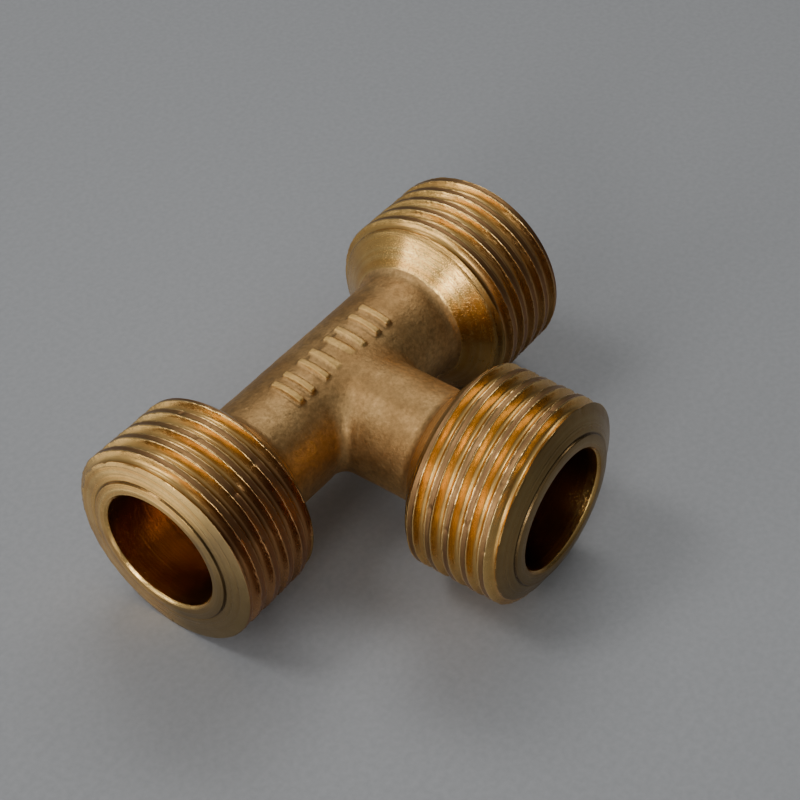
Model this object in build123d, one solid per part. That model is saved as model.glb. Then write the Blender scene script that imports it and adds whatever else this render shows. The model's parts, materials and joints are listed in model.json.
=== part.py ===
from build123d import *
import math
import os

# Brass tee connector with three male threaded ends, in millimetres.
#
# Frame: the run lies along X, the branch points along -Y, +Z is up, and the
# origin is where the run and branch axes cross.  The tee is one forging.  It is
# written as four solids that meet face to face: the rough forged body and the
# three ends that are turned and threaded after forging.

# ---- thread: metric 16 x 1.5, right-hand, crests left flat ----
thread_diameter = 16.0
thread_pitch = 1.5
thread_depth = 0.62
crest_width = 0.55
flank_angle = 30.0            # each flank, measured from the radial direction
left_groove_phase = 0.0       # depth of a groove centre below each face, at the underside
right_groove_phase = 0.8
branch_groove_phase = 0.6
groove_overshoot = 1.2        # the cutter starts this far outside the face
groove_runout = 0.8           # and leaves the metal this far behind the last crest
cutter_clearance = 0.4        # the cutter profile reaches this far outside the crests

# ---- lengths along the axes, from the crossing point or from an end face ----
run_half_length = 19.7
branch_length = 20.8
run_thread_length = 7.4       # end face to the back edge of the last crest
branch_thread_length = 8.0
back_chamfer = 0.4            # 45 degree chamfer behind the last crest
shoulder_length = 2.1         # axial length of the cone behind the chamfer
shoulder_blend = 1.0          # hollow radius between the cone and the neck
neck_land = 0.7               # straight neck turned behind the cone

# ---- end face ----
seal_ring_diameter = 11.8
seal_ring_step = 0.15         # the ring stands this far proud of the chamfer
run_chamfer_depth = 0.45      # the chamfer reaches the thread diameter here
branch_chamfer_depth = 1.1
mouth_diameter = 9.6          # socket for a 9.5 mm tube
mouth_depth = 8.6
mouth_countersink = 0.2
stop_angle = 60.0             # cone at the tube stop, measured from the axis

# ---- forged body ----
neck_diameter = 9.3
branch_neck_diameter = 9.1
bore_diameter = 6.8
branch_bore_diameter = 6.6
junction_blend = 0.9

# ---- raised plain bars on the upper side of the run neck, in pairs ----
pair_count = 4
pair_pitch = 3.05
first_pair_x = -4.8
bar_gap = 1.3                 # between the two bar centres of a pair
bar_width = 0.6               # along the run
bar_length = 2.8              # across the run
bar_height = 0.35
bar_corner = 0.25
bar_root = 0.5                # the bars start this far inside the neck surface
bar_tilt = 6.0                # the row is turned this many degrees towards the branch

thread_radius = thread_diameter / 2
root_radius = thread_radius - thread_depth
neck_radius = neck_diameter / 2
branch_neck_radius = branch_neck_diameter / 2
mouth_radius = mouth_diameter / 2
bore_radius = bore_diameter / 2
branch_bore_radius = branch_bore_diameter / 2
behind_thread = back_chamfer + shoulder_length + neck_land
run_face_depth = run_thread_length + behind_thread
branch_face_depth = branch_thread_length + behind_thread
body_half_length = run_half_length - run_face_depth
body_branch_length = branch_length - branch_face_depth


def end_blank(thread_length, chamfer_depth, end_neck_radius, end_bore_radius):
    """Turned end without its thread: face at z = 0, metal towards -z."""
    cone_start = thread_length + back_chamfer
    cone_foot = cone_start + shoulder_length
    joint = cone_foot + neck_land
    stop_length = (mouth_radius - end_bore_radius) / math.tan(math.radians(stop_angle))
    ring_radius = seal_ring_diameter / 2
    outline = Polyline(
        (mouth_radius + mouth_countersink, 0),
        (ring_radius, 0),
        (ring_radius, -seal_ring_step),
        (thread_radius, -chamfer_depth),
        (thread_radius, -thread_length),
        (thread_radius - back_chamfer, -cone_start),
        (end_neck_radius, -cone_foot),
        (end_neck_radius, -joint),
        (end_bore_radius, -joint),
        (end_bore_radius, -mouth_depth - stop_length),
        (mouth_radius, -mouth_depth),
        (mouth_radius, -mouth_countersink),
        close=True,
    )
    section = make_face(outline)
    foot = section.vertices().sort_by_distance((end_neck_radius, -cone_foot))[0]
    section = fillet(foot, shoulder_blend)
    return revolve(Plane.XZ * section, Axis.Z)


def thread_groove(thread_length, groove_phase):
    """Helical groove, right-hand, with flanks narrowing to a small flat root."""
    mouth_half = (thread_pitch - crest_width) / 2
    slope = math.tan(math.radians(flank_angle))
    root_half = mouth_half - thread_depth * slope
    outer_half = mouth_half + cutter_clearance * slope
    travel = thread_length + groove_runout + groove_overshoot
    start = -(thread_length + groove_runout)
    turn = 360 * (groove_phase - thread_length - groove_runout) / thread_pitch
    start_angle = 270 + turn
    path = Helix(pitch=thread_pitch, height=travel, radius=root_radius)
    outer_radius = thread_radius + cutter_clearance
    profile = Plane.XZ * make_face(Polyline(
        (root_radius, -root_half),
        (outer_radius, -outer_half),
        (outer_radius, outer_half),
        (root_radius, root_half),
        close=True,
    ))
    groove = sweep(profile, path=path, is_frenet=True)
    return Pos(0, 0, start) * Rot(0, 0, start_angle) * groove


def threaded_end(thread_length, chamfer_depth, groove_phase, end_neck_radius, end_bore_radius):
    """A rod is threaded past both ends, then turned down to the blank."""
    blank = end_blank(thread_length, chamfer_depth, end_neck_radius, end_bore_radius)
    top = 2 * groove_overshoot
    bottom = -(thread_length + behind_thread + neck_land)
    rod = Pos(0, 0, (top + bottom) / 2) * Cylinder(thread_radius, top - bottom)
    return (rod - thread_groove(thread_length, groove_phase)) & blank


def run_end(groove_phase):
    return threaded_end(run_thread_length, run_chamfer_depth, groove_phase, neck_radius, bore_radius)


def branch_end():
    return threaded_end(
        branch_thread_length, branch_chamfer_depth, branch_groove_phase,
        branch_neck_radius, branch_bore_radius)


def placed(solid, origin, outward):
    """Put an end with its +Z outward and its local +Y up."""
    across = Vector(0, 0, 1).cross(Vector(outward))
    return Plane(origin=origin, x_dir=across, z_dir=outward).location * solid


def raised_bars():
    """Row of paired plain bars standing on the upper side of the run neck."""
    foot = neck_radius - bar_root
    top = neck_radius + bar_height
    outline = RectangleRounded(bar_width, bar_length, bar_corner)
    block = Pos(0, 0, foot) * extrude(outline, amount=top - foot)
    bar = block & (Rot(0, 90, 0) * Cylinder(top, 2 * bar_width))
    row = []
    for pair in range(pair_count):
        for side in (-1, 1):
            x = first_pair_x + pair * pair_pitch + side * bar_gap / 2
            row.append(Rot(bar_tilt, 0, 0) * Pos(x, 0, 0) * bar)
    return row


def forged_body():
    run = Rot(0, 90, 0) * Cylinder(neck_radius, 2 * body_half_length)
    branch = Pos(0, -body_branch_length / 2, 0) * Rot(90, 0, 0) * Cylinder(
        branch_neck_radius, body_branch_length)
    tee = run + branch
    seams = [
        edge for edge in tee.edges()
        if edge.geom_type not in (GeomType.CIRCLE, GeomType.LINE)
    ]
    tee = fillet(seams, junction_blend)
    run_bore = Rot(0, 90, 0) * Cylinder(bore_radius, 2 * body_half_length)
    branch_bore = Pos(0, -body_branch_length / 2, 0) * Rot(90, 0, 0) * Cylinder(
        branch_bore_radius, body_branch_length)
    tee = tee - run_bore - branch_bore
    for bar in raised_bars():
        tee += bar
    return tee


def save(name, solid):
    solid.label = name
    export_step(solid, f"parts/{name}.step")


os.makedirs("parts", exist_ok=True)
save("forged_body", forged_body())
save("run_end_left", placed(run_end(left_groove_phase), (-run_half_length, 0, 0), (-1, 0, 0)))
save("run_end_right", placed(run_end(right_groove_phase), (run_half_length, 0, 0), (1, 0, 0)))
save("branch_end", placed(branch_end(), (0, -branch_length, 0), (0, -1, 0)))
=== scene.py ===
import json
import math

import bmesh
import bpy
import numpy as np
from mathutils import Matrix, Vector


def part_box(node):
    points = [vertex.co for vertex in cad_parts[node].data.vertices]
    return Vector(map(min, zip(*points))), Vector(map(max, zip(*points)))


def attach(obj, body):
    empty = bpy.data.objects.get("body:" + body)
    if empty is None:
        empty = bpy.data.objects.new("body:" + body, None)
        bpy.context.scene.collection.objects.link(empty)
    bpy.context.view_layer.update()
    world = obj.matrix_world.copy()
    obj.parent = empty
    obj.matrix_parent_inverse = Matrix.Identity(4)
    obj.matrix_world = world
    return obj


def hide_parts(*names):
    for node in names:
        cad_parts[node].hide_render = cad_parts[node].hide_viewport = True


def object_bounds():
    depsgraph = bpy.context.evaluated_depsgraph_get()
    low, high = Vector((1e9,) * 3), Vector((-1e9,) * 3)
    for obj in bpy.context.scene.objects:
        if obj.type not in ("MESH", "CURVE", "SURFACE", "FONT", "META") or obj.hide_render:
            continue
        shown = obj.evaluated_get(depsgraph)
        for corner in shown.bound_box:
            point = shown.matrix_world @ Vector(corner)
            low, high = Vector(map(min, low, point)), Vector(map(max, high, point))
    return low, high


# Brass tee with three male threaded ends.  Meshes are worked out in millimetres
# in the row frame and scaled to metres when they become objects.
MM = 0.001

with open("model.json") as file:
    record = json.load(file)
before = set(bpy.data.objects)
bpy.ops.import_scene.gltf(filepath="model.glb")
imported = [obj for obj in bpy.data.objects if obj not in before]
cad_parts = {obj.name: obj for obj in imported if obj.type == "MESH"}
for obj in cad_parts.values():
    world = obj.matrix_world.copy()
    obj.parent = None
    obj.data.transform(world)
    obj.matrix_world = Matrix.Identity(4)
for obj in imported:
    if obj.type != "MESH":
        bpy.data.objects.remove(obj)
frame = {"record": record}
cad_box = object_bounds()
mounts = {mount["name"]: mount for mount in frame["record"]["mounts"]}

# ---- thread ----
PITCH = 1.5
GROOVE_DEPTH = 0.62
GROOVE_HALF = 0.475           # half the groove's width at the crest
GROOVE_SQUARENESS = 2.3       # 2 would be a parabola; higher is flatter at the root
THREAD_RADIUS = mounts["thread_left"]["dims"]["r_mm"]
CREST_DIP = 0.05              # the crest is this much lower between its two raised lips
LIP_WIDTH = 0.045
EDGE_WANDER = 0.02            # how far the crest edges stray along the axis
WANDER_REACH = 0.14           # rows this close to a crest edge stray with it
# depth of a groove centre behind each face, at the underside
LEFT_GROOVE, RIGHT_GROOVE, BRANCH_GROOVE = 0.0, 0.8, 0.6
UNDERSIDE = 0.75              # where the underside lies, in turns round an end

# ---- turned end ----
BACK_CHAMFER = 0.4
SHOULDER_LENGTH = 2.1
SHOULDER_BLEND = 1.0
SEAL_RADIUS = 5.9
SEAL_STEP = 0.15              # the ring stands this far proud of the chamfer
SEAL_UNDERCUT = 0.1
SEAL_EDGE_WIDTH = 0.5         # the ring's face rolls over this far inside its edge
SEAL_EDGE_DROP = 0.07
SEAL_FOOT_LEAN = 0.03         # the ring is this much wider at its foot
SEAL_FOOT_WIDTH = 0.2         # the chamfer starts this far outside the ring
MOUTH_RADIUS = mounts["mouth_left"]["dims"]["r_mm"]
MOUTH_DEPTH = 8.6
MOUTH_COUNTERSINK = 0.2
STOP_SLOPE = math.tan(math.radians(60))
NECK_RADIUS = 4.65
BRANCH_NECK_RADIUS = 4.55
BORE_RADIUS = mounts["run_bore"]["dims"]["r_mm"]
BRANCH_BORE_RADIUS = mounts["branch_bore"]["dims"]["r_mm"]
RUN_CHAMFER = 0.45            # the chamfer reaches the thread radius here
BRANCH_CHAMFER = 1.1
CORNER_ROUNDING = 0.12        # on the corners before and behind the thread
DENTS = 46                    # on each end
DARKER_SIDE = np.array([0.0, -0.95, -0.31])  # painted shade darkens the run ends on this side

# ---- rows and columns of an end's mesh ----
COLUMNS = 424                 # round each end
ROWS_BEFORE_ROOT = 0.15       # thread rows start where the chamfer is this far below the root
THREAD_ROWS_AFTER = 0.6       # and go on this far behind the last crest
ROW_GAP = 0.004               # no thread row is closer than this to either limit
FRONT_ROW_LENGTH = 0.5
BACK_ROW_LENGTH = 0.3
SAME_PLACE = 1e-6

# ---- forged body ----
JUNCTION_BLEND = 0.9
BAR_PAIRS = 4
PAIR_PITCH = 3.05
FIRST_PAIR_X = -4.8
BAR_GAP = 1.3
BAR_HALF = (0.3, 1.4, 0.35)   # along the run, round the neck, above the neck
BAR_ROUNDING = 0.14
BAR_BLEND = 0.22
BAR_TILT = math.radians(6)
BORE_CORNER = 0.01            # blend where the bores cross
SKIN_WAVES = ((0.030, 2.6, 1), (0.014, 0.9, 2), (0.008, 0.4, 3))  # height, wavelength, seed
SKIN_DROP = 0.03              # the skin's mean level lies this far inside the plain neck
SKIN_VOXEL = 0.14
BORE_VOXEL = 0.25
ROD_SEGMENTS = 128
ROD_SPARE = 1.0               # the rods are this much longer before they are cut flat


# ------------------------------------------------------------------ noise

def lattice(ix, iy, iz, seed):
    """Repeatable random value from -1 to 1 at whole-number places."""
    mixed = (ix * 374761393 + iy * 668265263 + iz * 1442695041 + seed * 1013904223) & 0xFFFFFFFF
    mixed = ((mixed ^ (mixed >> 13)) * 1274126177) & 0xFFFFFFFF
    return ((mixed ^ (mixed >> 16)) & 0xFFFF) / 32767.5 - 1


def noise(points, wavelength, seed):
    """Smooth random value from -1 to 1 at each point."""
    scaled = np.asarray(points, float) / wavelength
    cell = np.floor(scaled).astype(np.int64)
    part = scaled - cell
    part = part * part * (3 - 2 * part)
    total = 0
    for dx in (0, 1):
        for dy in (0, 1):
            for dz in (0, 1):
                weight = (
                    np.abs(1 - dx - part[..., 0])
                    * np.abs(1 - dy - part[..., 1])
                    * np.abs(1 - dz - part[..., 2])
                )
                corner = lattice(cell[..., 0] + dx, cell[..., 1] + dy, cell[..., 2] + dz, seed)
                total = total + weight * corner
    return total


def smooth_step(value, low, high):
    """Soft rise from 0 at low to 1 at high; low may be the larger of the two."""
    t = np.clip((value - low) / (high - low), 0, 1)
    return t * t * (3 - 2 * t)


def skin_relief(points):
    """Uneven cast skin: gentle waves with a finer grain, in millimetres."""
    waves = sum(height * noise(points, wavelength, seed) for height, wavelength, seed in SKIN_WAVES)
    return waves - SKIN_DROP


# ------------------------------------------------------------------ mesh helpers

def make_object(name, points, faces, floats=None, sharp_angle=80):
    """Mesh object from millimetre points, with one float attribute per entry of floats."""
    mesh = bpy.data.meshes.new(name)
    mesh.from_pydata((np.asarray(points) * MM).tolist(), [], faces)
    for key, values in (floats or {}).items():
        attribute = mesh.attributes.new(key, "FLOAT", "POINT")
        attribute.data.foreach_set("value", np.asarray(values, np.float32).ravel())
    mesh.validate()
    mesh.update()
    mesh.shade_smooth()
    mesh.set_sharp_from_angle(angle=math.radians(sharp_angle))
    obj = bpy.data.objects.new(name, mesh)
    bpy.context.scene.collection.objects.link(obj)
    return obj


def rounded_path(corners, steps=4):
    """Straight runs through (depth, radius, rounding) corners, with an arc at each."""
    path = [np.array(corners[0][:2], float)]
    for before, corner, after in zip(corners, corners[1:], corners[2:]):
        place = np.array(corner[:2], float)
        back = np.array(before[:2]) - place
        ahead = np.array(after[:2]) - place
        back /= np.linalg.norm(back)
        ahead /= np.linalg.norm(ahead)
        half = math.acos(float(np.clip(back @ ahead, -1, 1))) / 2
        reach = corner[2] / math.tan(half)
        middle = (back + ahead) / np.linalg.norm(back + ahead)
        centre = place + middle * corner[2] / math.sin(half)
        for t in np.linspace(0, 1, steps):
            spoke = place + (1 - t) * back * reach + t * ahead * reach - centre
            path.append(centre + spoke * corner[2] / np.linalg.norm(spoke))
    path.append(np.array(corners[-1][:2], float))
    return np.array(path)


def refined(path, longest):
    """The same path with no run longer than the given length."""
    rows = [path[0]]
    for start, end in zip(path, path[1:]):
        pieces = max(1, math.ceil(np.linalg.norm(end - start) / longest))
        for k in range(1, pieces + 1):
            rows.append(start + (end - start) * k / pieces)
    return np.array(rows)


# ------------------------------------------------------------------ threaded ends

def groove_phases():
    """Row places over one pitch, measured from the groove centre, closest at the crest edges."""
    one_side = [0.06, 0.117, 0.17, 0.24, 0.32, 0.40, 0.445]
    crest_side = [0, 0.025, 0.06, 0.105, 0.185]
    one_side += [GROOVE_HALF + step for step in crest_side]
    both = [0.0] + one_side + [-x for x in one_side] + [PITCH / 2]
    return np.array(sorted(both))


def thread_radius_at(phase, lip):
    """Radius of the threaded rod at a distance from the groove centre; lip is 0 where it is torn."""
    edge_tolerance = 0.01
    away = np.abs(phase)
    sunk = 1 - (away / GROOVE_HALF) ** GROOVE_SQUARENESS
    groove = THREAD_RADIUS - GROOVE_DEPTH * np.clip(sunk, 0, 1)
    dip = CREST_DIP * smooth_step(away, GROOVE_HALF + LIP_WIDTH / 2, GROOVE_HALF + 2.5 * LIP_WIDTH)
    missing_lip = CREST_DIP * (1 - lip) * (away > GROOVE_HALF - edge_tolerance)
    return groove - np.maximum(dip, missing_lip)


def on_rings(radius, depth):
    """Places of the mesh's columns and rows, with the end's axis along Z."""
    angle = np.arange(COLUMNS) / COLUMNS * 2 * math.pi
    return np.stack(
        [radius * np.cos(angle)[:, None], radius * np.sin(angle)[:, None], depth], axis=-1)


def sorted_column(line, first, last, corners):
    """One column's (depth, radius, phase) rows, cut to the thread's limits and sorted by depth.

    Rows that fall outside are laid on the nearest limit, so that every column has as many."""
    line = line[np.argsort(line[:, 0])]
    depth = line[:, 0]
    extra_depth = np.concatenate([[first], corners, [last]])
    between = [np.interp(extra_depth, depth, line[:, part]) for part in (1, 2)]
    extra = np.stack([extra_depth, *between], axis=1)
    kept = line[(depth > first + ROW_GAP) & (depth < last - ROW_GAP)]
    both = np.concatenate([kept, extra])
    both = both[np.argsort(both[:, 0], kind="stable")]
    before = np.count_nonzero(depth <= first + ROW_GAP)
    after = len(line) + len(extra) - len(both) - before
    return np.concatenate([np.repeat(both[:1], before, 0), both, np.repeat(both[-1:], after, 0)])


def thread_rows(first, last, crown, first_groove, seed):
    """Depth, radius and distance from the groove centre of each row, for every column.

    Rows follow the helix, so crest edges stay crisp; extra rows sit at the corners of the
    turned outline. The outline's own radius at each row is returned with them."""
    lower = math.floor((first - first_groove) / PITCH) - 2
    upper = math.ceil((last - first_groove) / PITCH) + 1
    one_turn = groove_phases()
    turns = np.repeat(np.arange(lower, upper + 1), len(one_turn))
    phase = np.tile(one_turn, upper + 1 - lower)
    # one turn clockwise from the underside moves the groove one pitch inwards
    clockwise = (UNDERSIDE - np.arange(COLUMNS) / COLUMNS) % 1.0
    depth = first_groove + PITCH * (turns[None, :] + clockwise[:, None]) + phase[None, :]
    place = on_rings(np.full_like(depth, THREAD_RADIUS), depth)
    wander = 0.7 * noise(place, 1.1, seed) + noise(place, 0.3, seed + 1)
    near_edge = np.clip(1 - np.abs(np.abs(phase) - GROOVE_HALF) / WANDER_REACH, 0, 1)
    depth = depth + EDGE_WANDER * wander * near_edge[None, :]
    lip = smooth_step(noise(place, 1.6, seed + 2) + noise(place, 0.28, seed + 3), -1.0, 0.5)
    radius = thread_radius_at(phase[None, :], lip)
    away = np.abs(phase)
    corners = crown[(crown[:, 0] > first + ROW_GAP) & (crown[:, 0] < last - ROW_GAP), 0]
    rows = np.array([
        sorted_column(np.stack([depth[column], radius[column], away], axis=1), first, last, corners)
        for column in range(COLUMNS)
    ])
    blank = np.interp(rows[..., 0], crown[:, 0], crown[:, 1])
    rows[..., 1] = np.minimum(rows[..., 1], blank)
    return rows, blank


def end_outlines(thread_length, chamfer_depth, joint, bore_radius, neck_radius):
    """Paths of (depth behind the face, radius) and the first and last depth of the thread rows.

    The crown is the outside without its grooves, the front path runs from the joint through
    the passage and over the face, and the back path runs down the cone to the joint."""
    cone_start = thread_length + BACK_CHAMFER
    foot = cone_start + SHOULDER_LENGTH
    stop_end = MOUTH_DEPTH + (MOUTH_RADIUS - bore_radius) / STOP_SLOPE
    slope = (chamfer_depth - SEAL_STEP) / (THREAD_RADIUS - SEAL_RADIUS)
    first = SEAL_STEP + slope * (THREAD_RADIUS - GROOVE_DEPTH - ROWS_BEFORE_ROOT - SEAL_RADIUS)
    last = thread_length + THREAD_ROWS_AFTER
    crown = rounded_path([
        (SEAL_STEP, SEAL_RADIUS, 0),
        (chamfer_depth, THREAD_RADIUS, CORNER_ROUNDING),
        (thread_length, THREAD_RADIUS, CORNER_ROUNDING),
        (cone_start, THREAD_RADIUS - BACK_CHAMFER, CORNER_ROUNDING),
        (foot, neck_radius, 0),
    ], steps=6)
    front = refined(rounded_path([
        (joint, bore_radius, 0),
        (stop_end, bore_radius, 0.1),
        (MOUTH_DEPTH, MOUTH_RADIUS, 0.15),
        (MOUTH_COUNTERSINK, MOUTH_RADIUS, 0.08),
        (0, MOUTH_RADIUS + MOUTH_COUNTERSINK, 0.06),
        (0, SEAL_RADIUS - SEAL_EDGE_WIDTH, SEAL_EDGE_WIDTH),
        (SEAL_EDGE_DROP, SEAL_RADIUS, 0.05),
        (SEAL_STEP + SEAL_UNDERCUT, SEAL_RADIUS + SEAL_FOOT_LEAN, 0.02),
        (SEAL_STEP + SEAL_FOOT_WIDTH * slope, SEAL_RADIUS + SEAL_FOOT_WIDTH, 0.05),
        (first, float(np.interp(first, crown[:, 0], crown[:, 1])), 0),
    ]), FRONT_ROW_LENGTH)
    back = refined(rounded_path([
        (last, float(np.interp(last, crown[:, 0], crown[:, 1])), 0),
        (foot, neck_radius, SHOULDER_BLEND),
        (joint, neck_radius, 0),
    ], steps=9), BACK_ROW_LENGTH)
    return crown, front, back, first, last


def end_marks(depth, radius, threads, middle, blank, front, foot):
    """Where the looks change, as one column-by-row grid for each float attribute.

    The threads slice says which rows belong to the thread; middle and blank are its rows."""
    def grid(rows, values):
        whole = np.zeros_like(depth)
        whole[:, rows] = values
        return whole

    before, behind = slice(0, threads.start), slice(threads.stop, None)
    least_groove = 0.06
    groove = np.clip((blank - middle[..., 1] - least_groove) / (GROOVE_DEPTH - least_groove), 0, 1)
    on_crest = smooth_step(middle[..., 1], THREAD_RADIUS - 0.12, THREAD_RADIUS - 0.05)
    edge = np.clip(1 - np.abs(middle[..., 2] - GROOVE_HALF - 0.02) / 0.06, 0, 1) * on_crest
    crest = smooth_step(middle[..., 2], GROOVE_HALF + 0.04, GROOVE_HALF + 0.1) * on_crest
    face = smooth_step(front[:-1, 1], MOUTH_RADIUS, MOUTH_RADIUS + 0.3)
    # the chamfers and the cone are turned metal too, wherever no groove cuts them
    bevel = smooth_step(blank, THREAD_RADIUS - 0.02, THREAD_RADIUS - 0.1) * (groove < 0.02)
    # painted shade: a dark line where the seal ring stands on the chamfer
    seam = np.exp(-((radius[:, before] - SEAL_RADIUS - 0.05) / 0.07) ** 2)
    passage = slice(0, int(np.argmax(front[:, 0] <= 0.02)))
    return {
        "groove": grid(threads, groove),
        "crest_edge": grid(threads, edge),
        "crest": grid(threads, crest),
        "inside": grid(passage, smooth_step(front[passage, 0], 0.1, 1.5)),
        "turned_face": grid(before, face) + grid(threads, bevel),
        "seam": grid(before, seam),
        "cast": grid(behind, smooth_step(depth[:, behind], foot - 0.5, foot)),
    }


def dented(radius, depth, crown, thread_length, seed):
    """The radius with small random dents from the face to the back of the thread."""
    places = on_rings(radius, depth)
    rng = np.random.default_rng(seed)
    for _ in range(DENTS):
        angle = rng.uniform(0, 2 * math.pi)
        spot_depth = rng.uniform(0.1, thread_length)
        spot_radius = float(np.interp(spot_depth, crown[:, 0], crown[:, 1]))
        spot = np.array([spot_radius * math.cos(angle), spot_radius * math.sin(angle), spot_depth])
        size = rng.uniform(0.10, 0.32)
        hit = np.exp(-np.sum((places - spot) ** 2, axis=-1) / size**2)
        radius = radius - rng.uniform(0.02, 0.11) * hit
    return radius


def distance_along(depth, radius, threads):
    """How far along the outline each row lies, which the turning marks follow."""
    path = np.zeros(depth.shape[1])
    path[1:] = np.cumsum(np.hypot(np.diff(depth[0]), np.diff(radius[0])))
    along = np.repeat(path[None, :], COLUMNS, 0)
    first = threads.start
    along[:, threads] = path[first] + (depth[:, threads] - depth[:, first:first + 1])
    return along


def ring_faces(depth, radius):
    """Faces between neighbouring columns, and the grid places that they use.

    Rows of a column that lie in one place are joined, and faces that this closes up are left out."""
    rows = depth.shape[1]
    ids = np.arange(depth.size).reshape(depth.shape)
    same_depth = np.abs(np.diff(depth, axis=1)) < SAME_PLACE
    same_radius = np.abs(np.diff(radius, axis=1)) < SAME_PLACE
    same = same_depth & same_radius
    for row in range(1, rows):
        ids[same[:, row - 1], row] = ids[same[:, row - 1], row - 1]
    used = np.unique(ids)
    number = np.full(ids.size, -1)
    number[used] = np.arange(used.size)
    columns = number[ids].tolist()
    faces = []
    for column in range(COLUMNS):
        here, there = columns[column], columns[(column + 1) % COLUMNS]
        for row in range(rows):
            following = (row + 1) % rows
            corners = (here[row], here[following], there[following], there[row])
            corners = list(dict.fromkeys(corners))
            if len(corners) > 2:
                faces.append(corners)
    return faces, used


def threaded_end(name, node, thread, chamfer_depth, first_groove, bore_radius, neck_radius, tarnish, seed):
    """Closed mesh of one turned end: inside passage, face, chamfer, thread, cone and neck."""
    outward = Vector(thread["axis"])
    up = Vector((0, 0, 1))
    across = up.cross(outward)
    joint_reach, face = sorted(outward.dot(Vector(corner) / MM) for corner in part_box(node))
    joint = face - joint_reach
    thread_length = chamfer_depth + thread["dims"]["length_mm"]
    foot = thread_length + BACK_CHAMFER + SHOULDER_LENGTH
    crown, front, back, first, last = end_outlines(
        thread_length, chamfer_depth, joint, bore_radius, neck_radius)
    middle, blank = thread_rows(first, last, crown, first_groove, seed)
    front_rows = np.repeat(front[None, :-1], COLUMNS, 0)
    back_rows = np.repeat(back[None, 1:], COLUMNS, 0)
    rows = np.concatenate([front_rows, middle[..., :2], back_rows], axis=1)
    depth, radius = rows[..., 0], rows[..., 1]
    threads = slice(front_rows.shape[1], front_rows.shape[1] + middle.shape[1])
    marks = end_marks(depth, radius, threads, middle, blank, front, foot)
    radius = dented(radius, depth, crown, thread_length, seed)
    marks["path"] = distance_along(depth, radius, threads)

    flat = on_rings(radius, depth).reshape(-1, 3)
    points = (
        np.array(outward * face)
        + flat[:, :1] * np.array(across)
        + flat[:, 1:2] * np.array(up)
        - flat[:, 2:] * np.array(outward)
    )
    radial = points - np.outer(points @ np.array(outward), np.array(outward))
    radial /= np.linalg.norm(radial, axis=1, keepdims=True)
    points = points + radial * (skin_relief(points) * marks["cast"].ravel())[:, None]
    # painted shade: the side facing DARKER_SIDE is darkened, over the face and chamfers and, in red-brown,
    # over the thread; the whole face may also be dimmed
    face_dimming, side_shade_strength = tarnish
    on_side = side_shade_strength * smooth_step(radial @ DARKER_SIDE, -0.1, 0.6).reshape(depth.shape)
    marks["tarnish"] = np.maximum(face_dimming, on_side) * marks["turned_face"]
    marks["rust"] = np.zeros_like(depth)
    marks["rust"][:, threads] = (on_side * (1 - marks["turned_face"]))[:, threads]

    faces, used = ring_faces(depth, radius)
    floats = {key: values.ravel()[used] for key, values in marks.items()}
    piece = make_object(name, points[used], faces, floats)
    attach(piece, "root")
    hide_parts(node)
    return piece


# ------------------------------------------------------------------ forged body

def tee_distance(points, run_radius, branch_radius, blend):
    """Distance to a run along X joined to a branch along -Y, with a rounded inner corner."""
    run = np.hypot(points[:, 1], points[:, 2]) - run_radius
    branch = np.maximum(np.hypot(points[:, 0], points[:, 2]) - branch_radius, points[:, 1])
    corner = np.hypot(np.maximum(blend - run, 0), np.maximum(blend - branch, 0))
    return np.maximum(blend, np.minimum(run, branch)) - corner


def bars_distance(points, neck_radius):
    """Distance to the row of plain raised bars that curve with the neck."""
    across = points[:, 1] * math.cos(BAR_TILT) + points[:, 2] * math.sin(BAR_TILT)
    high = points[:, 2] * math.cos(BAR_TILT) - points[:, 1] * math.sin(BAR_TILT)
    above = np.abs(np.hypot(across, high) - neck_radius) + np.where(high < 0, neck_radius, 0)
    nearest = np.full(len(points), np.inf)
    for centre in bar_centres():
        away = np.stack([np.abs(points[:, 0] - centre), np.abs(across), above], axis=1)
        away -= np.array(BAR_HALF) - BAR_ROUNDING
        outside = np.linalg.norm(np.maximum(away, 0), axis=1)
        within = np.minimum(away.max(axis=1), 0)
        nearest = np.minimum(nearest, outside + within - BAR_ROUNDING)
    return nearest


def body_distance(points, neck_radius, branch_radius):
    """Distance to the outside of the forging, with soft-footed bars and cast relief."""
    neck = tee_distance(points, neck_radius, branch_radius, JUNCTION_BLEND)
    bars = bars_distance(points, neck_radius)
    meet = np.hypot(np.maximum(BAR_BLEND - neck, 0), np.maximum(BAR_BLEND - bars, 0))
    joined = np.maximum(BAR_BLEND, np.minimum(neck, bars)) - meet
    return joined - skin_relief(points)


def moved_onto(points, distance, rounds=5):
    """Points moved along the distance field's slope until they lie on its zero surface."""
    step = 0.01
    gentlest = 0.25
    for _ in range(rounds):
        value = distance(points)
        slope = np.stack([
            (distance(points + offset) - distance(points - offset)) / (2 * step)
            for offset in np.eye(3) * step
        ], axis=1)
        steep = np.maximum(np.sum(slope**2, axis=1), gentlest)
        points = points - slope * (value / steep)[:, None]
    return points


def bar_centres():
    for pair in range(BAR_PAIRS):
        for side in (-0.5, 0.5):
            yield FIRST_PAIR_X + pair * PAIR_PITCH + side * BAR_GAP


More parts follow.
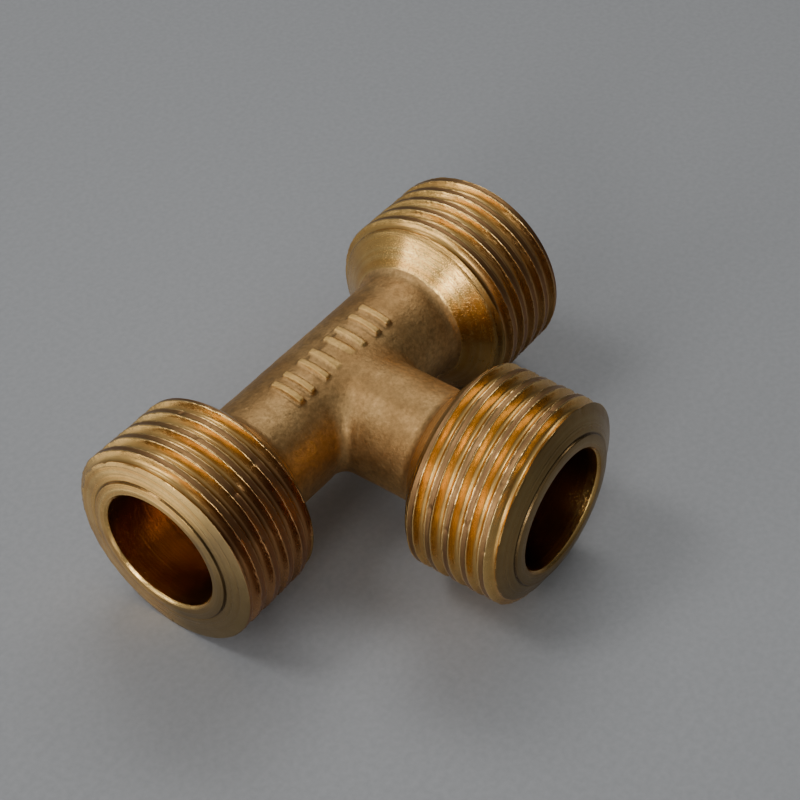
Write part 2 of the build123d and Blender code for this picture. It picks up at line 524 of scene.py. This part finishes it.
def even_tee(run_radius, branch_radius, run_half, branch_reach, voxel, with_bars):
    """Evenly meshed closed tee of two crossing rods, as millimetre points and faces."""
    rods = bmesh.new()
    if with_bars:
        size = Matrix.Diagonal((*(2 * half for half in BAR_HALF), 1))
        tilt = Matrix.Rotation(BAR_TILT, 4, "X")
        for centre in bar_centres():
            bmesh.ops.create_cube(
                rods, size=1, matrix=tilt @ Matrix.Translation((centre, 0, run_radius)) @ size)
    lying = Matrix.Rotation(math.pi / 2, 4, "Y")
    bmesh.ops.create_cone(
        rods, cap_ends=True, segments=ROD_SEGMENTS, radius1=run_radius, radius2=run_radius,
        depth=2 * run_half, matrix=lying)
    towards = Matrix.Translation((0, -branch_reach / 2, 0)) @ Matrix.Rotation(math.pi / 2, 4, "X")
    bmesh.ops.create_cone(
        rods, cap_ends=True, segments=ROD_SEGMENTS, radius1=branch_radius, radius2=branch_radius,
        depth=branch_reach, matrix=towards)
    mesh = bpy.data.meshes.new("rods")
    rods.to_mesh(mesh)
    rods.free()
    obj = bpy.data.objects.new("rods", mesh)
    bpy.context.scene.collection.objects.link(obj)
    remesh = obj.modifiers.new("even", "REMESH")
    remesh.mode = "VOXEL"
    remesh.voxel_size = voxel
    bpy.context.view_layer.update()
    evaluated = obj.evaluated_get(bpy.context.evaluated_depsgraph_get())
    result = bpy.data.meshes.new_from_object(evaluated)
    points = np.empty(len(result.vertices) * 3)
    result.vertices.foreach_get("co", points)
    faces = [list(polygon.vertices) for polygon in result.polygons]
    bpy.data.objects.remove(obj)
    bpy.data.meshes.remove(mesh)
    bpy.data.meshes.remove(result)
    return points.reshape(-1, 3), faces


def body_marks(points, neck_radius, bore_radius, branch_bore_radius):
    """Float attributes of the forging: its inside, where the material paints shade, and the tops of its
    bars.
    """
    inside_reach = 0.3
    to_run = np.hypot(points[:, 1], points[:, 2])
    to_branch = np.where(points[:, 1] < 0, np.hypot(points[:, 0], points[:, 2]), np.inf)
    from_bores = np.minimum(to_run - bore_radius, to_branch - branch_bore_radius)
    on_bar = -bars_distance(points, neck_radius)
    above_neck = smooth_step(to_run, neck_radius + 0.1, neck_radius + 0.3)
    return {
        "inside": (from_bores < inside_reach).astype(float),
        "bar_top": smooth_step(on_bar + 0.1, -0.05, 0.12) * above_neck,
    }


def forged_body(name, node, neck_radius, branch_neck_radius, bore_radius, branch_bore_radius):
    """Closed mesh of the forging: projected outside and bores, cut flat where the ends join."""
    low, high = [Vector(corner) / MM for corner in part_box(node)]
    shells = []
    for run, branch, voxel, with_bars, field in (
        (neck_radius, branch_neck_radius, SKIN_VOXEL, True,
         lambda p: body_distance(p, neck_radius, branch_neck_radius)),
        (bore_radius, branch_bore_radius, BORE_VOXEL, False,
         lambda p: tee_distance(p, bore_radius, branch_bore_radius, BORE_CORNER)),
    ):
        points, faces = even_tee(
            run, branch, high.x + ROD_SPARE, ROD_SPARE - low.y, voxel, with_bars)
        beyond_run = np.abs(points[:, 0]) > high.x + ROD_SPARE / 2
        beyond_branch = points[:, 1] < low.y - ROD_SPARE / 2
        ends = beyond_run | beyond_branch
        moved = moved_onto(points, field)
        shells.append((np.where(ends[:, None], points, moved), faces))
    (outer, outer_faces), (inner, inner_faces) = shells
    mesh = bpy.data.meshes.new(name)
    turned = [[corner + len(outer) for corner in reversed(face)] for face in inner_faces]
    mesh.from_pydata(np.concatenate([outer, inner]).tolist(), [], outer_faces + turned)
    solid = bmesh.new()
    solid.from_mesh(mesh)
    bpy.data.meshes.remove(mesh)
    for place, normal in (
        (Vector((high.x, 0, 0)), Vector((1, 0, 0))),
        (Vector((low.x, 0, 0)), Vector((-1, 0, 0))),
        (Vector((0, low.y, 0)), Vector((0, -1, 0))),
    ):
        everything = solid.verts[:] + solid.edges[:] + solid.faces[:]
        cut = bmesh.ops.bisect_plane(
            solid, geom=everything, plane_co=place, plane_no=normal, clear_outer=True)
        rim = [item for item in cut["geom_cut"] if isinstance(item, bmesh.types.BMEdge)]
        bmesh.ops.triangle_fill(solid, edges=rim, use_beauty=True, normal=normal)
    bmesh.ops.recalc_face_normals(solid, faces=solid.faces[:])
    points = np.array([vertex.co for vertex in solid.verts])
    solid.verts.index_update()
    faces = [[vertex.index for vertex in face.verts] for face in solid.faces]
    solid.free()
    floats = body_marks(points, neck_radius, bore_radius, branch_bore_radius)
    piece = make_object(name, points, faces, floats, sharp_angle=60)
    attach(piece, "root")
    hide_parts(node)
    return piece


# ------------------------------------------------------------------ materials
# A look's own numbers are noise wavelengths and bump heights in millimetres,
# and amounts from 0 to 1.

class Paint:
    """Short names for building one material's nodes."""

    def __init__(self, name):
        self.material = bpy.data.materials.new(name)
        self.material.use_nodes = True
        self.tree = self.material.node_tree
        self.shader = self.tree.nodes["Principled BSDF"]
        place = self.tree.nodes.new("ShaderNodeTexCoord").outputs["Object"]
        scaled = self.tree.nodes.new("ShaderNodeVectorMath")
        scaled.operation = "SCALE"
        scaled.inputs["Scale"].default_value = 1 / MM
        self.tree.links.new(place, scaled.inputs[0])
        self.place = scaled.outputs[0]

    def link(self, source, target):
        if isinstance(source, (int, float)):
            target.default_value = source
        elif isinstance(source, (tuple, list)):
            target.default_value = tuple(source) if len(source) != 3 else (*source, 1)
        else:
            self.tree.links.new(source, target)

    def attribute(self, name):
        node = self.tree.nodes.new("ShaderNodeAttribute")
        node.attribute_name = name
        return node.outputs["Fac"]

    def noise(self, wavelength, detail=3.0, roughness=0.5, vector=None):
        """Noise value, with the wavelength in millimetres."""
        node = self.tree.nodes.new("ShaderNodeTexNoise")
        node.inputs["Scale"].default_value = 1 / wavelength
        node.inputs["Detail"].default_value = detail
        node.inputs["Roughness"].default_value = roughness
        self.link(self.place if vector is None else vector, node.inputs["Vector"])
        return node.outputs["Fac"]

    def stretch(self, source, from_low, from_high, to_low=0.0, to_high=1.0):
        node = self.tree.nodes.new("ShaderNodeMapRange")
        node.inputs["From Min"].default_value = from_low
        node.inputs["From Max"].default_value = from_high
        node.inputs["To Min"].default_value = to_low
        node.inputs["To Max"].default_value = to_high
        self.link(source, node.inputs["Value"])
        return node.outputs["Result"]

    def math(self, operation, first, second=0.0):
        node = self.tree.nodes.new("ShaderNodeMath")
        node.operation = operation
        self.link(first, node.inputs[0])
        self.link(second, node.inputs[1])
        return node.outputs[0]

    def mix(self, amount, first, second):
        node = self.tree.nodes.new("ShaderNodeMix")
        node.data_type = "RGBA"
        self.link(amount, node.inputs["Factor"])
        self.link(first, node.inputs["A"])
        self.link(second, node.inputs["B"])
        return node.outputs["Result"]

    def blend(self, amount, first, second):
        node = self.tree.nodes.new("ShaderNodeMix")
        node.data_type = "FLOAT"
        self.link(amount, node.inputs[0])
        self.link(first, node.inputs[2])
        self.link(second, node.inputs[3])
        return node.outputs[0]

    def vector(self, x, y, z):
        node = self.tree.nodes.new("ShaderNodeCombineXYZ")
        for source, socket in zip((x, y, z), node.inputs):
            self.link(source, socket)
        return node.outputs[0]

    def finish(self, colour, roughness, height):
        """Connect the three results; height is in millimetres."""
        bump = self.tree.nodes.new("ShaderNodeBump")
        bump.inputs["Strength"].default_value = 1.0
        bump.inputs["Distance"].default_value = MM
        self.link(height, bump.inputs["Height"])
        self.link(bump.outputs["Normal"], self.shader.inputs["Normal"])
        self.link(colour, self.shader.inputs["Base Color"])
        self.link(roughness, self.shader.inputs["Roughness"])
        self.shader.inputs["Metallic"].default_value = 1.0
        return self.material


CAST_DARK = (0.27, 0.15, 0.055)
CAST_MID = (0.52, 0.30, 0.115)
CAST_LIGHT = (0.74, 0.47, 0.20)
GOLD = (0.78, 0.43, 0.115)
GOLD_PALE = (0.90, 0.58, 0.20)
AMBER = (0.66, 0.40, 0.125)
UMBER = (0.36, 0.16, 0.055)
OLIVE = (0.42, 0.28, 0.08)
ROSE = (0.27, 0.14, 0.06)
CREAM = (0.97, 0.70, 0.32)
DIM_AND_SHADE_BROWN = (0.17, 0.125, 0.06)
SIDE_SHADE_RED_BROWN = (0.32, 0.14, 0.06)
FOOT_SHADE_DARK = (0.10, 0.06, 0.03)
FLOOR_DARK = (0.36, 0.365, 0.375)
FLOOR_LIGHT = (0.40, 0.405, 0.415)


def cast_look(paint):
    """Sand-matt forged brass: blotchy tan over brown with a fine grain."""
    broad = paint.stretch(paint.noise(4.5, 3), 0.35, 0.65)
    patches = paint.stretch(paint.noise(1.1, 4, 0.6), 0.38, 0.66)
    speckle = paint.stretch(paint.noise(0.32, 4, 0.65), 0.38, 0.66)
    colour = paint.mix(broad, CAST_MID, CAST_LIGHT)
    colour = paint.mix(paint.math("MULTIPLY", patches, 0.35), colour, CAST_DARK)
    colour = paint.mix(paint.math("MULTIPLY", speckle, 0.5), colour, CAST_DARK)
    roughness = paint.stretch(paint.noise(0.8, 4), 0.3, 0.7, 0.44, 0.58)
    grain = paint.noise(0.2, 3, 0.6)
    pits = paint.stretch(paint.noise(0.5, 2), 0.55, 0.75)
    height = paint.math(
        "SUBTRACT", paint.math("MULTIPLY", grain, 0.028), paint.math("MULTIPLY", pits, 0.012))
    return colour, roughness, height


def turned_look(paint):
    """Turned and threaded brass: ring marks, grooves darkened to amber as painted shade and reflection,
    brown crests with painted highlights along their edges, and painted shade in the passage, at the seal
    ring's foot and on the darker side.
    """
    groove = paint.attribute("groove")
    edge = paint.attribute("crest_edge")
    inside = paint.attribute("inside")
    path = paint.attribute("path")
    marks_place = paint.vector(path, paint.math("MULTIPLY", paint.noise(5.0, 1), 0.15), 0.0)
    marks = paint.noise(0.14, 2, 0.6, marks_place)
    wide_marks = paint.noise(0.5, 2, 0.5, marks_place)
    stain = paint.stretch(paint.noise(3.0, 4, 0.6), 0.45, 0.66)
    dull = paint.stretch(paint.noise(1.0, 5, 0.65), 0.48, 0.7)
    scratches = paint.stretch(paint.noise(0.16, 3, 0.7), 0.55, 0.7)
    colour = paint.mix(paint.stretch(wide_marks, 0.35, 0.65), GOLD, GOLD_PALE)
    # painted shade and reflection: the grooves turn a darker amber with their depth
    colour = paint.mix(paint.math("MULTIPLY", groove, 0.8), colour, AMBER)
    colour = paint.mix(paint.math("MULTIPLY", stain, 0.35), colour, UMBER)
    colour = paint.mix(paint.math("MULTIPLY", dull, 0.25), colour, OLIVE)
    crest = paint.attribute("crest")
    crest_amount = paint.math("MULTIPLY", crest, paint.stretch(marks, 0.35, 0.65, 0.8, 1.0))
    colour = paint.mix(crest_amount, colour, ROSE)
    # painted highlight: cream along the crest edges
    colour = paint.mix(paint.math("MULTIPLY", edge, 0.6), colour, CREAM)
    # painted shade: the passage darkens to umber deeper inside
    colour = paint.mix(paint.math("MULTIPLY", inside, 0.6), colour, UMBER)
    # the face is dimmed, and painted shade darkens the end's darker side
    tarnish = paint.attribute("tarnish")
    colour = paint.mix(tarnish, colour, DIM_AND_SHADE_BROWN)
    # painted shade: the thread on the darker side turns red-brown
    colour = paint.mix(paint.attribute("rust"), colour, SIDE_SHADE_RED_BROWN)
    # painted shade: a dark line at the seal ring's foot
    colour = paint.mix(paint.math("MULTIPLY", paint.attribute("seam"), 0.8), colour, FOOT_SHADE_DARK)
    roughness = paint.stretch(marks, 0.3, 0.7, 0.16, 0.26)
    roughness = paint.math("ADD", roughness, paint.math("MULTIPLY", dull, 0.08))
    roughness = paint.math("ADD", roughness, paint.math("MULTIPLY", crest, 0.2))
    roughness = paint.math("ADD", roughness, paint.math("MULTIPLY", groove, 0.12))
    roughness = paint.math("ADD", roughness, paint.math("MULTIPLY", tarnish, 0.12))
    roughness = paint.blend(paint.math("MULTIPLY", inside, 0.8), roughness, 0.20)
    face_marks = paint.math("MULTIPLY", paint.attribute("turned_face"), 0.028)
    face_marks = paint.math("ADD", face_marks, paint.math("MULTIPLY", inside, 0.010))
    height = paint.math("MULTIPLY", marks, paint.math("ADD", 0.006, face_marks))
    height = paint.math("ADD", height, paint.math("MULTIPLY", wide_marks, 0.008))
    crest_only = paint.math("SUBTRACT", 1.0, groove)
    scuffs = paint.math("MULTIPLY", paint.math("MULTIPLY", scratches, 0.006), crest_only)
    height = paint.math("SUBTRACT", height, scuffs)
    return colour, roughness, height


def cast_brass():
    """Metal of the forging, with paler bar tops and painted shade inside its bores."""
    paint = Paint("cast_brass")
    colour, roughness, height = cast_look(paint)
    # the bar tops are paler
    paler_tops = paint.math("MULTIPLY", paint.attribute("bar_top"), 0.6)
    colour = paint.mix(paler_tops, colour, GOLD_PALE)
    # painted shade inside the bores
    inside = paint.attribute("inside")
    colour = paint.mix(paint.math("MULTIPLY", inside, 0.6), colour, UMBER)
    return paint.finish(colour, roughness, height)


def turned_brass():
    """Metal of the ends, which fades into the cast look where the neck starts."""
    paint = Paint("turned_brass")
    turned_colour, turned_roughness, turned_height = turned_look(paint)
    cast_colour, cast_roughness, cast_height = cast_look(paint)
    cast_start = paint.attribute("cast")
    ragged = paint.math("MULTIPLY", paint.noise(0.5, 3), 0.3)
    cast = paint.stretch(paint.math("ADD", cast_start, ragged), 0.5, 0.65)
    return paint.finish(
        paint.mix(cast, turned_colour, cast_colour),
        paint.blend(cast, turned_roughness, cast_roughness),
        paint.blend(cast, turned_height, cast_height),
    )


def floor_material():
    """Plain pale matt floor with a faint even grain."""
    paint = Paint("pale_floor")
    weave = paint.noise(0.5, 2)
    colour = paint.mix(paint.stretch(weave, 0.3, 0.7), FLOOR_DARK, FLOOR_LIGHT)
    material = paint.finish(colour, 0.42, paint.math("MULTIPLY", weave, 0.01))
    paint.shader.inputs["Metallic"].default_value = 0.0
    return material


# ------------------------------------------------------------------ the object

body_metal = cast_brass()
end_metal = turned_brass()

body = forged_body("body_forging", "forged_body", NECK_RADIUS, BRANCH_NECK_RADIUS,
                   BORE_RADIUS, BRANCH_BORE_RADIUS)
body.data.materials.append(body_metal)

# the pair before the seed is how much the whole face is dimmed, and how strong the painted shade on the
# end's darker side is
for side, node, chamfer, groove, bore, neck, tarnish, seed in (
    ("left", "run_end_left", RUN_CHAMFER, LEFT_GROOVE, BORE_RADIUS, NECK_RADIUS, (0.0, 0.85), 11),
    ("right", "run_end_right", RUN_CHAMFER, RIGHT_GROOVE, BORE_RADIUS, NECK_RADIUS, (0.2, 0.6), 23),
    ("branch", "branch_end", BRANCH_CHAMFER, BRANCH_GROOVE, BRANCH_BORE_RADIUS, BRANCH_NECK_RADIUS,
     (0.75, 0.0), 37),
):
    thread = mounts[f"thread_{side}"]
    end = threaded_end(
        f"threaded_end_{side}", node, thread, chamfer, groove, bore, neck, tarnish, seed)
    end.data.materials.append(end_metal)


# ------------------------------------------------------------------ floor, light, camera

FLOOR_REACH = 3.0             # metres from the origin to each edge of the floor

level = cad_box[0][2]
floor_mesh = bpy.data.meshes.new("floor")
floor_mesh.from_pydata([
    (-FLOOR_REACH, -FLOOR_REACH, level),
    (FLOOR_REACH, -FLOOR_REACH, level),
    (FLOOR_REACH, FLOOR_REACH, level),
    (-FLOOR_REACH, FLOOR_REACH, level),
], [], [(0, 1, 2, 3)])
floor = bpy.data.objects.new("floor", floor_mesh)
bpy.context.scene.collection.objects.link(floor)
floor.data.materials.append(floor_material())


def soft_light(name, direction, distance, size, power, away=None):
    """Soft box in a direction and at a distance in metres from where the tee's axes cross.

    It faces that crossing, unless away gives the direction that its back faces."""
    light = bpy.data.lights.new(name, "AREA")
    light.shape = "RECTANGLE"
    light.size, light.size_y = size
    light.energy = power
    holder = bpy.data.objects.new(name, light)
    spot = Vector(direction).normalized()
    holder.location = spot * distance
    holder.rotation_euler = Vector(away or spot).to_track_quat("Z", "Y").to_euler()
    holder.visible_camera = False
    bpy.context.scene.collection.objects.link(holder)


soft_light("overhead_back", (-0.31, 0.43, 0.85), 0.45, (0.12, 0.12), 0.36)
soft_light("left_window", (-0.86, 0.40, 0.30), 0.45, (0.26, 0.14), 0.42)
soft_light("low_card", (-0.080, 0.020, -0.0070), 0.0828, (0.10, 0.10), 0.022, away=(0, 0, -1))
soft_light("front_left", (-0.88, -0.25, 0.40), 0.45, (0.12, 0.12), 0.38)
soft_light("back_right", (0.58, 0.28, 0.76), 0.50, (0.42, 0.14), 0.50)

BRIGHT_SIDE = (-0.65, 0.30, 0.70)     # the room is brightest up and to the left
ROOM_SPAN = (-0.4, 1.0)               # it stops changing this far against and along that side
ROOM_STRENGTH = (0.05, 0.36)          # on its dark side and on its bright side
ROOM_COLOUR = (0.95, 0.98, 1.0, 1)


def studio_world():
    """Room that fades from its bright side to the dark front right."""
    world = bpy.data.worlds.new("studio")
    bpy.context.scene.world = world
    world.use_nodes = True
    tree = world.node_tree
    background = tree.nodes["Background"]
    direction = tree.nodes.new("ShaderNodeTexCoord").outputs["Generated"]
    towards_light = tree.nodes.new("ShaderNodeVectorMath")
    towards_light.operation = "DOT_PRODUCT"
    towards_light.inputs[1].default_value = BRIGHT_SIDE
    tree.links.new(direction, towards_light.inputs[0])
    spread = tree.nodes.new("ShaderNodeMapRange")
    spread.interpolation_type = "SMOOTHSTEP"
    for name, value in zip(("From Min", "From Max", "To Min", "To Max"), ROOM_SPAN + ROOM_STRENGTH):
        spread.inputs[name].default_value = value
    tree.links.new(towards_light.outputs["Value"], spread.inputs["Value"])
    tree.links.new(spread.outputs["Result"], background.inputs["Strength"])
    background.inputs["Color"].default_value = ROOM_COLOUR


studio_world()

# The camera looks from the photo's viewpoint, worked out from the object's rims and edges.
CAMERA_AZIMUTH = math.radians(-53.3109)
CAMERA_ELEVATION = math.radians(43.6641)
CAMERA_ROLL = math.radians(-0.9022)
CAMERA_DISTANCE = 135.5522 * MM
CAMERA_RIGHT = 5.2245 * MM
CAMERA_UP = -0.4727 * MM
CAMERA_LENS = 80.534
CAMERA_SENSOR = 36


def photo_camera():
    """Camera turned about the crossing of the axes, rolled, and shifted right and up."""
    backward = Vector((
        math.sin(CAMERA_AZIMUTH) * math.cos(CAMERA_ELEVATION),
        -math.cos(CAMERA_AZIMUTH) * math.cos(CAMERA_ELEVATION),
        math.sin(CAMERA_ELEVATION),
    ))
    level_right = Vector((math.cos(CAMERA_AZIMUTH), math.sin(CAMERA_AZIMUTH), 0))
    level_up = backward.cross(level_right)
    right = math.cos(CAMERA_ROLL) * level_right + math.sin(CAMERA_ROLL) * level_up
    upward = -math.sin(CAMERA_ROLL) * level_right + math.cos(CAMERA_ROLL) * level_up
    place = backward * CAMERA_DISTANCE + right * CAMERA_RIGHT + upward * CAMERA_UP
    turn = Matrix((right, upward, backward)).transposed().to_4x4()
    camera_data = bpy.data.cameras.new("photo_view")
    camera_data.lens = CAMERA_LENS
    camera_data.sensor_width = CAMERA_SENSOR
    camera_data.clip_start = MM
    camera = bpy.data.objects.new("photo_view", camera_data)
    camera.matrix_world = Matrix.Translation(place) @ turn
    bpy.context.scene.collection.objects.link(camera)
    return camera


bpy.context.scene.camera = photo_camera()
